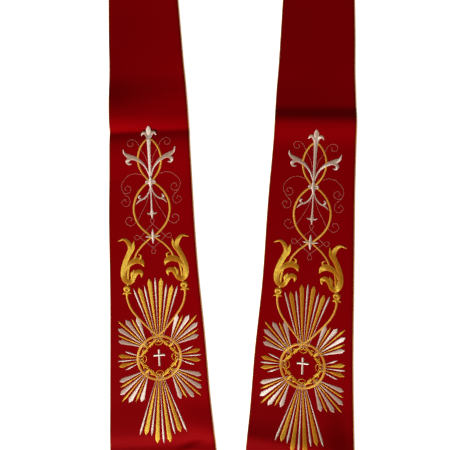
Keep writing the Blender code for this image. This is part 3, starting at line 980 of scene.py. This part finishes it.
# %% How each frame was set on
ROUNDEL_FROM_HEM = 0.216
# Across the panel: growth, lean, and shift in mm. Along it: climb, growth, shift
# in mm, and twist for each mm.
SET_ON = {
    LEFT: ((1.014, -0.0055, 1.8), (0.053, 1.004, 0.0, -0.00012)),
    RIGHT: ((1.003, 0.009, -0.9), (-0.049, 1.007, 0.4, 0.0)),
}
# The cloth also crept in the frame: distance from the roundel, and shift in mm.
CREEP_MM = {
    LEFT: ((-140, 0), (0, 0), (70, 0), (165, 0.6), (215, 0.8), (276, 0), (330, -0.9), (360, -0.9)),
    RIGHT: ((-140, 0), (0, 0), (70, -0.3), (150, 0.2), (190, 0.3), (215, 0.9), (260, 1.1),
            (285, 0.4), (310, 0), (360, -0.2)),
}
# The threads lie a little off square, and the other way on the other panel.
THREAD_SLANT = {LEFT: math.radians(5), RIGHT: math.radians(-12)}


def slant_threads(piece, angle):
    """Turns the piece's UVs, so that its threads cross each stroke at a slant."""
    layer = piece.data.uv_layers["UVMap"].data
    flat = np.zeros(2 * len(layer))
    layer.foreach_get("uv", flat)
    u, v = flat.reshape(-1, 2).T
    turned = (u * math.cos(angle) + v * math.sin(angle), v * math.cos(angle) - u * math.sin(angle))
    layer.foreach_set("uv", np.stack(turned, axis=1).reshape(-1))


print("the embroidery leans by", [round(math.degrees(SET_ON[s][1][0]), 1) for s in (LEFT, RIGHT)])

# %% Sew a piece on both panels


def sewn_points(side, flat, stiff):
    """Where a flat piece lies on a panel. If stiff, it bridges narrow valleys."""
    across, along, up = flat.reshape(-1, 3).T
    (wider, lean, aside), (climb, longer, ahead, twist) = SET_ON[side]
    out = wider * across + lean * along + aside * MM
    out = out + smooth_table(CREEP_MM[side], along / MM) * MM
    far = (climb + twist * along / MM) * across + longer * along + ahead * MM + ROUNDEL_FROM_HEM
    cloth = cloth_top(side, out, far)
    bridged = (cloth_top(side, out, far - stiff) + cloth_top(side, out, far + stiff)) / 2
    return on_stole(side, out, far, np.where(up > 0, np.maximum(cloth, bridged), cloth) + up)


def sew_on(pattern, thread, stands_for="embroidery", stiff=0.0):
    """Lays a copy of a flat piece on each panel, and takes the pattern away."""
    laid = []
    for side in (LEFT, RIGHT):
        bpy.ops.object.select_all(action="DESELECT")
        bpy.context.view_layer.objects.active = pattern
        pattern.select_set(True)
        bpy.ops.object.duplicate()
        piece = bpy.context.object
        piece.name = f"{pattern.name}_{SIDE_NAMES[side]}"
        piece.data.name = piece.name
        flat = np.zeros(3 * len(piece.data.vertices))
        piece.data.vertices.foreach_get("co", flat)
        piece.data.vertices.foreach_set("co", sewn_points(side, flat, stiff).reshape(-1))
        piece.data.update()
        slant_threads(piece, THREAD_SLANT[side])
        piece.data.materials.append(thread)
        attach(piece, "root")
        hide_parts(f"{stands_for}_{SIDE_NAMES[side]}")
        laid.append(piece)
    print(pattern.name, "has", count_faces(pattern), "triangles on each panel")
    bpy.data.objects.remove(pattern)
    return laid


print("the roundel sits", round(ROUNDEL_FROM_HEM / MM), "mm above the hem")

# %% [markdown]
# ## The rays
#
# Around the roundel stand rays of glory in eight groups, gold and silver in
# turn, a common sign of light in church needlework. Each is a long kite of
# satin stitch, a mere thread at its root and broad near its tip, and its threads
# run across it. One ray could be copied round by an array. But real rays differ
# in length, and a group gathers at a point of its own, so a table holds a row
# for each group, and every ray is a stroke with its own reach.

# %% A table of rays
RAY_GROUPS = (
    # direction, rays, step between the tips, and where the group gathers; then width,
    # length of the point, and share of the width halfway, for gold and for silver
    (0, 9, 4.35, 10.0, (6.3, 6.0, 0.56), (2.8, 8.5, 0.36)),
    (44.8, 7, 6.35, 21.5, (3.0, 8.0, 0.55), (6.6, 5.0, 0.48)),
    (90.4, 5, 7.55, 18.0, (6.3, 6.0, 0.6), (2.5, 7.0, 0.42)),
    (135.9, 7, 6.35, 21.5, (3.0, 8.0, 0.55), (6.6, 5.0, 0.48)),
    (180, 9, 4.35, 14.0, (6.7, 6.0, 0.56), (3.0, 8.5, 0.38)),
)
RAY_REACH_MM = {
    # direction: reach of each ray of the group, clockwise
    0: (113.8, 113.2, 113.7, 122.8, 123.6, 122.8, 113.7, 113.2, 113.8),
    44.8: (72.0, 73.6, 78.8, 86.2, 78.8, 72.6, 68.8),
    90.4: (54.0, 63.8, 64.2, 63.8, 55.0),
    135.9: (70.8, 74.6, 81.6, 88.2, 82.1, 75.9, 72.5),
    180: (121.3, 119.6, 120.0, 131.3, 131.9, 131.3, 120.0, 119.6, 121.3),
}
# The first places on a ray: how far from the centre, and how wide there.
RAY_STARTS_MM = {
    "gold": ((27.5, 0.4), (33.2, 0.8), (40.0, 1.0)),
    "silver": ((27.5, 0.4), (33.2, 0.4)),
}
print("longest ray:", max(max(reaches) for reaches in RAY_REACH_MM.values()), "mm")

# %% The form of a ray
TIP_WIDTH_MM = 0.3
POINTS_ON_A_LINE = 200


def toward(turn, reach):
    """The place that lies so far from the centre in the given direction."""
    return np.array((math.sin(math.radians(turn)), math.cos(math.radians(turn)))) * reach


def ray_rows(metal, direction, turn, reach, gather, width, point, waist):
    """A ray from within the ring to its tip, on a line from where its group gathers."""
    tip = toward(turn, reach)
    from_here = toward(direction, gather)
    line = from_here + np.linspace(0, 1, POINTS_ON_A_LINE)[:, None] * (tip - from_here)
    far = np.linalg.norm(line, axis=1)
    run = (tip - from_here) / np.linalg.norm(tip - from_here)
    starts = RAY_STARTS_MM[metal]
    rows = [(np.interp(r, far, line[:, 0]), np.interp(r, far, line[:, 1]), w) for r, w in starts]
    shoulder = tip - point * run
    halfway = (np.array(rows[-1][:2]) + shoulder) / 2
    return [*rows, (*halfway, waist * width), (*shoulder, width), (*tip, TIP_WIDTH_MM)]


one_ray = ray_rows("gold", 0, 0, 120, 10, 6, 6, 0.5)
print("widths along a ray:", [round(float(row[2]), 1) for row in one_ray], "mm")

# %% Rays of gold and silver

# A broad ray is flat on top, and a narrow one is a round dome.
FLAT_TOPPED_MM = 5.0
FLAT_RAY = {"top": 0.26, "flat": 4}
ROUND_RAY = {"top": 0.32, "flat": 2}


def rays_of(metal):
    """Every second ray of each group is gold, and the first and last are silver."""
    first = {"silver": 0, "gold": 1}[metal]
    made = []
    for direction, count, step, gather, for_gold, for_silver in RAY_GROUPS:
        width, point, waist = for_gold if metal == "gold" else for_silver
        form = FLAT_RAY if width > FLAT_TOPPED_MM else ROUND_RAY
        for k in range(first, count, 2):
            from_middle = (k - count // 2) * step
            reach = RAY_REACH_MM[direction][k]
            turns = {direction: direction + from_middle}
            # A group that isn't on the middle line has a mirror image on the left.
            if direction not in (0, 180):
                turns[-direction] = -direction - from_middle
            for middle, turn in turns.items():
                rows = ray_rows(metal, middle, turn, reach, gather, width, point, waist)
                made.append(stroke("ray", rows, **form, step=3.0, rounded=False, rise=0.6))
    return joined(f"{metal}_rays", made)


gold_rays = sew_on(rays_of("gold"), gold)
silver_rays = sew_on(rays_of("silver"), silver)

# %% [markdown]
# ## The roundel
#
# A gold braid, couched in a ring, covers the roots of the rays. A torus would do
# for the ring, but a stroke closed on itself has the low dome and the thread's
# own direction. Inside it runs a wreath of small leaves with a loop on each
# side, and in the middle stands a plain silver cross. The wreath is worked as an
# eighth of the circle, then turned and mirrored, which keeps it even all round.

# %% A table for an eighth of the wreath
WREATH_STROKES = (
    # rows of angle in degrees, radius in mm, width in mm: the leaf from the loop to
    # the diagonal, two teeth on its inner side, one on its outer side, and the bud
    # on the diagonal
    ((5, 29.4, 0.5), (10, 28.0, 2.0), (16, 26.9, 2.8), (23, 26.0, 3.2), (30, 24.8, 2.8),
     (37, 23.9, 2.0), (43, 23.8, 1.2)),
    ((19, 25.8, 1.7), (24, 23.6, 1.9), (29, 22.0, 0.4)),
    ((29, 24.8, 1.6), (33, 22.6, 1.7), (38, 21.4, 0.4)),
    ((24, 27.0, 1.3), (29, 28.2, 1.3), (34, 28.2, 0.4)),
    ((45, 22.2, 0.5), (43.4, 25.4, 2.2), (43.6, 28.6, 2.4), (45, 31.4, 1.6)),
)
# A loop's distance from the centre, its radius and its width.
LOOP_MM = (26.0, 6.3, 0.9)
# Rows of x, y and width: the curl inside a loop.
LOOP_CURL_MM = (
    (0.1, 27.8, 1.3), (0.9, 25.6, 1.1), (2.8, 24.6, 1.0), (4.5, 26.2, 1.0),
    (3.9, 28.3, 0.9), (2.2, 28.8, 0.5),
)
print("strokes in an eighth of the wreath:", len(WREATH_STROKES))

# %% Ring and wreath
RING_RADIUS_MM = 33.35
RING_WIDTH_MM = 3.3


def circle_rows(x, y, radius, width, pieces):
    """Rows of x, y and width round a circle, with its first place again at the end."""
    turns = np.linspace(0, 2 * math.pi, pieces + 1)
    return [(x + radius * math.sin(a), y + radius * math.cos(a), width) for a in turns]


def polar_rows(rows, turn, flip):
    """Turns or flips rows of angle, radius and width, and gives x, y and width."""
    angles = [math.radians(flip * a + turn) for a, _, _ in rows]
    return [(r * math.sin(a), r * math.cos(a), w) for a, (_, r, w) in zip(angles, rows)]


def wreath():
    """Four loops, and the eighth of the wreath eight times round."""
    made = []
    middle, radius, width = LOOP_MM
    curl = [(math.degrees(math.atan2(x, y)), math.hypot(x, y), w) for x, y, w in LOOP_CURL_MM]
    for turn in (0, 90, 180, 270):
        angle = math.radians(turn)
        loop = circle_rows(middle * math.sin(angle), middle * math.cos(angle), radius, width, 20)
        made.append(stroke("loop", loop, top=0.25, closed=True, rounded=False))
        for flip in (-1, 1):
            for rows in (*WREATH_STROKES, curl):
                made.append(stroke("leaf", polar_rows(rows, turn, flip), top=0.35, step=1.0))
    return joined("gold_wreath", made)


def ring():
    rows = circle_rows(0, 0, RING_RADIUS_MM, RING_WIDTH_MM, 120)
    band = stroke("ring", rows, top=0.26, closed=True, rounded=False, step=3.0)
    return joined("gold_ring", [band])


gold_wreath = sew_on(wreath(), gold)
gold_ring = sew_on(ring(), gold_braid)

# %% The cross in the middle
UPRIGHT_MM = ((0, -12.5, 2.9), (0, 0, 2.6), (0, 12.5, 2.9))
CROSSBAR_MM = ((-8.5, 4.2, 2.9), (0, 4.2, 2.6), (8.5, 4.2, 2.9))
upright = stroke("upright", UPRIGHT_MM, top=0.5, edge=0.12, rounded=False)
crossbar = stroke("crossbar", CROSSBAR_MM, top=0.6, edge=0.12, rounded=False)
cross = joined("silver_cross", [upright, crossbar])
silver_cross = sew_on(cross, silver, stands_for="cross")

# %% [markdown]
# ## Ribbons and leaves
#
# Gold ribbons cross each other in two ovals and end in a pair of acanthus
# leaves, a leaf that church needlework took over from stone carving. Under each
# leaf a stroke curls round into a ball, on a small calyx. A leaf's outline could
# be filled and puffed up, but its threads would then run one way only. Here
# every lobe is a stroke, and the thread turns with it. A broad lobe would look
# like plastic as one dome, so it has veins: shallow valleys pressed along it.

# %% Gold ribbons
RIBBONS_MM = (
    # the upper oval
    (2.5, ((0, 339.6), (6.8, 334.2), (13, 325.5), (16.5, 316), (17.9, 306.5), (16.6, 297), (13.2, 288),
           (7, 279), (0, 270.3))),
    # the lower oval
    (2.7, ((0, 273), (10.2, 266.5), (18.9, 257.2), (24.1, 248), (27, 238.6), (27.8, 229.5), (26.4, 220),
           (23.3, 211), (17, 201.5), (7.4, 192), (0, 185.5))),
    # from the star to the leaf, and from the leaf to the roundel
    (2.5, ((0, 189.3), (4.6, 185), (17.4, 174.3), (26, 164), (29.8, 156), (33.5, 149))),
    (2.6, ((42, 118), (44.4, 109.5), (45, 101), (44.2, 92), (39.8, 79), (31, 66), (21.4, 55), (11.5, 44),
           (0, 34.6))),
)


def ribbons():
    made = []
    for width, points in RIBBONS_MM:
        made.append(stroke("ribbon", [(x, y, width) for x, y in points], top=0.34))
    return mirrored(joined("gold_ribbons", made))


gold_ribbons = sew_on(ribbons(), gold_braid)

# %% A table for an acanthus leaf
LEAF_STROKES_MM = (
    # the long plume, from its curled tip down and round to the hook
    ((55, 183, 0.5), (46, 186, 3.4), (39.2, 181, 6.0), (35.8, 172, 7.0), (38.6, 163, 7.6), (43.6, 153, 7.6),
     (47.5, 141, 7.8), (48.2, 130.5, 8.6), (45.5, 122.8, 8.4), (40.5, 119.4, 7.8), (35.6, 121.8, 7.0),
     (32.6, 127.5, 6.8), (29.2, 132.4, 6.8), (24.6, 134.6, 6.8), (20.4, 132, 5.6), (20.8, 125.6, 0.6)),
    # the leaflet on the hook, and the spike beside the plume
    ((34.5, 125, 3.2), (34.8, 132, 4.8), (31.2, 138.4, 0.4)),
    ((37.5, 162, 4.4), (32.2, 171.5, 6.2), (29.5, 182.5, 0.4)),
    # the middle leaf with its curl, and the sliver below it
    ((46, 134, 1.8), (41, 144.4, 5.4), (33, 150.4, 8.6), (25.4, 152, 9.4), (19, 148.4, 7.0),
     (16, 141.6, 0.4)),
    ((24.5, 152, 2.6), (20.4, 156.5, 2.8), (20.6, 159.8, 2.2), (24, 161, 0.4)),
    ((38.6, 144, 1.8), (40.8, 135, 3.0), (41.6, 121, 1.6)),
    # the calyx below the ball: its cup and its two sepals
    ((44.4, 106.6, 4.2), (44.6, 103, 5.2), (44.8, 99.6, 3.2)),
    ((44.6, 104, 2.6), (48.6, 103.4, 2.6), (51.4, 101.4, 0.4)),
    ((44.6, 104, 2.6), (40.8, 103.4, 2.6), (38, 101.8, 0.4)),
)
LEAF_TOPS_MM = (0.5, 0.45, 0.45, 0.48, 0.4, 0.35, 0.5, 0.4, 0.4)
# Place, radius and width of the curl under the leaf.
BALL_MM = (44.2, 109.8, 3.0, 4.6)
print("strokes in a leaf:", len(LEAF_STROKES_MM))

# %% Acanthus leaves
VEINED_FROM_MM = 5
VEINED_DOME = (
    -1.0, -0.94, -0.82, -0.68, -0.54, -0.4, -0.27, -0.13, 0.0,
    0.13, 0.27, 0.4, 0.54, 0.68, 0.82, 0.94, 1.0,
)
# The place of each vein across the stroke, and its depth as a share of the dome.
VEINS = ((-0.54, 0.3), (-0.13, 0.4), (0.4, 0.4))


def leaves():
    made = []
    for rows, top in zip(LEAF_STROKES_MM, LEAF_TOPS_MM):
        broad = max(width for _, _, width in rows) > VEINED_FROM_MM
        veined = {"dome": VEINED_DOME, "veins": VEINS} if broad else {}
        made.append(stroke("leaf", rows, top=top, edge=0.12, step=1.2, **veined))
    curl = circle_rows(*BALL_MM, 16)
    made.append(stroke("ball", curl, top=0.6, edge=0.12, closed=True, rounded=False))
    return mirrored(joined("gold_leaves", made))


gold_leaves = sew_on(leaves(), gold)

# %% [markdown]
# ## The silver fleur
#
# A silver staff carries the fleur at its head, two pairs of side leaves, a
# knot where the gold ovals meet, and a star where the ribbons cross. What stands
# on the middle line is worked whole, and what stands beside it is worked once
# and mirrored. The staff lies over the ribbons, so its strokes stand a little
# higher. So much padding makes the work stiff, and where a crease dips under the
# fleur's head the thread bridges the dip instead of following it.

# %% A table for the staff and its side leaves
MIDDLE_STROKES_MM = (
    # the bud, the staff down to the knot, the knot, the staff's lower end, and the
    # two bars of the star
    ((0, 357.2, 1.6), (0, 355.3, 4.6), (0, 352, 7.2), (0, 348, 6.8), (0, 345, 4.0)),
    ((0, 347, 4.0), (0, 343.5, 8.2), (0, 338.5, 6.8), (0, 328.5, 5.0), (0, 311, 4.1),
     (0, 280, 3.4), (0, 264, 3.0)),
    ((0, 281, 0.6), (0, 276, 5.0), (0, 271, 6.4), (0, 266, 4.8), (0, 260.5, 0.6)),
    ((0, 264, 1.6), (0, 238, 1.9), (0, 228, 2.8), (0, 223.5, 4.8), (0, 214.5, 0.4)),
    ((0, 199, 0.4), (0, 194, 3.2), (0, 187.5, 4.6), (0, 181, 3.2), (0, 176, 0.4)),
    ((-11.4, 187.5, 0.4), (-6, 187.5, 3.0), (0, 187.5, 4.2), (6, 187.5, 3.0), (11.4, 187.5, 0.4)),
)
MIDDLE_TOPS_MM = (0.5, 0.42, 0.85, 0.4, 0.6, 0.45)
SIDE_STROKES_MM = (
    # the hook under the bud, the upper side leaf and its curl, the lower side leaf
    # and its curl, and the barb at the lower end
    ((1.0, 337, 2.6), (2.6, 343, 4.4), (5.6, 346.9, 4.3), (8.8, 347.2, 3.5), (11.6, 343.4, 1.2)),
    ((40, 324, 0.4), (37.8, 317, 3.3), (30.4, 312, 6.4), (20.4, 307.8, 5.7), (12.4, 302, 3.7),
     (5.4, 292.5, 2.1), (0.6, 279, 1.4)),
    ((25, 308.6, 2.6), (30.6, 308.4, 4.3), (34.3, 305.4, 4.8), (32.2, 301, 3.3), (27.4, 301, 0.4)),
    ((23.8, 238.4, 0.4), (18.6, 243.7, 2.1), (10.4, 247.2, 2.2), (3.9, 255, 1.5), (0.4, 265, 1.2)),
    ((15.5, 246, 1.4), (18.6, 248, 2.8), (18.4, 250.6, 2.4), (15.6, 251.6, 0.4)),
    ((0, 225, 2.2), (3.9, 222.4, 2.0), (8, 224, 0.4)),
)
SIDE_TOPS_MM = (0.4, 0.42, 0.42, 0.34, 0.34, 0.36)
# Place, radius and width of the small curl on each side of the knot.
LOBE_MM = (4.9, 271.5, 1.9, 2.6)
print("strokes in the fleur:", len(MIDDLE_STROKES_MM) + 2 * len(SIDE_STROKES_MM))

# %% Fleur, staff and star

# How far up and down the panel the stiff thread reaches for its hold.
FLEUR_STIFF = 0.007


def fleur():
    made = []
    for rows, top in zip(SIDE_STROKES_MM, SIDE_TOPS_MM):
        made.append(stroke("side_leaf", rows, top=top, edge=0.12, step=1.2))
    curl = circle_rows(*LOBE_MM, 14)
    made.append(stroke("lobe", curl, top=0.45, edge=0.12, closed=True, rounded=False))
    sides = mirrored(joined("sides", made))
    middle = []
    for rows, top in zip(MIDDLE_STROKES_MM, MIDDLE_TOPS_MM):
        middle.append(stroke("staff", rows, top=top, edge=0.16, step=1.2))
    return joined("silver_fleur", [sides, *middle])


silver_fleur = sew_on(fleur(), silver, stiff=FLEUR_STIFF)

# %% [markdown]
# ## The fine scrolls
#
# The last silver work is a single line of thread, couched down in spirals on
# either side of the staff and in a looped diamond round the star. A bevelled
# curve would do for so even a line, but then it would need a finish of its own.
# As a stroke it takes the thread's, and it is less than half a millimetre wide,
# so five points across it are plenty.

# %% A table for the scrolls
SCROLLS_MM = (
    # up from the staff to the upper spiral
    ((3.4, 300.5), (6.1, 310.9), (12.6, 322.1), (15.4, 328), (19.2, 334.4), (25.6, 338.3), (31.4, 336.4),
     (33.1, 332.8), (31.7, 329), (27.6, 327.4), (24.3, 329.3), (24.3, 331.9), (26, 333.1)),
    # the great side scroll, and the spiral inside it
    ((13.8, 283.1), (22.7, 285.5), (34.3, 282.8), (43.7, 273), (45.2, 264.2), (40.7, 255), (34, 248.3),
     (33.8, 239.3), (40.4, 236.1), (46.2, 242.5), (41.1, 247.3), (39, 242.8)),
    ((43.2, 259), (40.7, 256.3), (33, 257.2), (31.1, 263.5), (36.3, 267.6), (40.7, 263.3), (37.3, 260.6)),
    # down from the knot to the low spiral
    ((2.4, 254.5), (8.3, 238.1), (16.7, 223.2), (22.9, 212.6), (26.9, 209), (34.1, 205.5), (41.2, 212.2),
     (37.3, 219), (31, 217.5), (33.1, 213.1)),
    # the loop above the diamond, its two sides, and the loops at its corners
    ((0, 214.6), (2.4, 213.6), (2.8, 210.5), (0, 206.4)),
    ((0, 206.4), (10, 196.6), (19.7, 186.9)),
    ((19.7, 186.9), (23, 190.2), (27, 190.2), (28.6, 187.2), (26.6, 184.2), (22.8, 184), (19.7, 186.9)),
    ((19.7, 186.9), (10, 178.2), (0, 169.8)),
    ((0, 169.8), (2.9, 165.6), (2.6, 162), (0, 160.6)),
)
print("scroll lines on each side:", len(SCROLLS_MM))

# %% Silver scroll lines
LINE_MM = 0.37
LINE_DOME = (-1.0, -0.6, 0.0, 0.6, 1.0)


def scrolls():
    made = []
    for points in SCROLLS_MM:
        rows = [(x, y, LINE_MM) for x, y in points]
        made.append(stroke("line", rows, top=0.4, step=0.9, dome=LINE_DOME))
    return mirrored(joined("silver_scrolls", made))


silver_scrolls = sew_on(scrolls(), fine_silver)
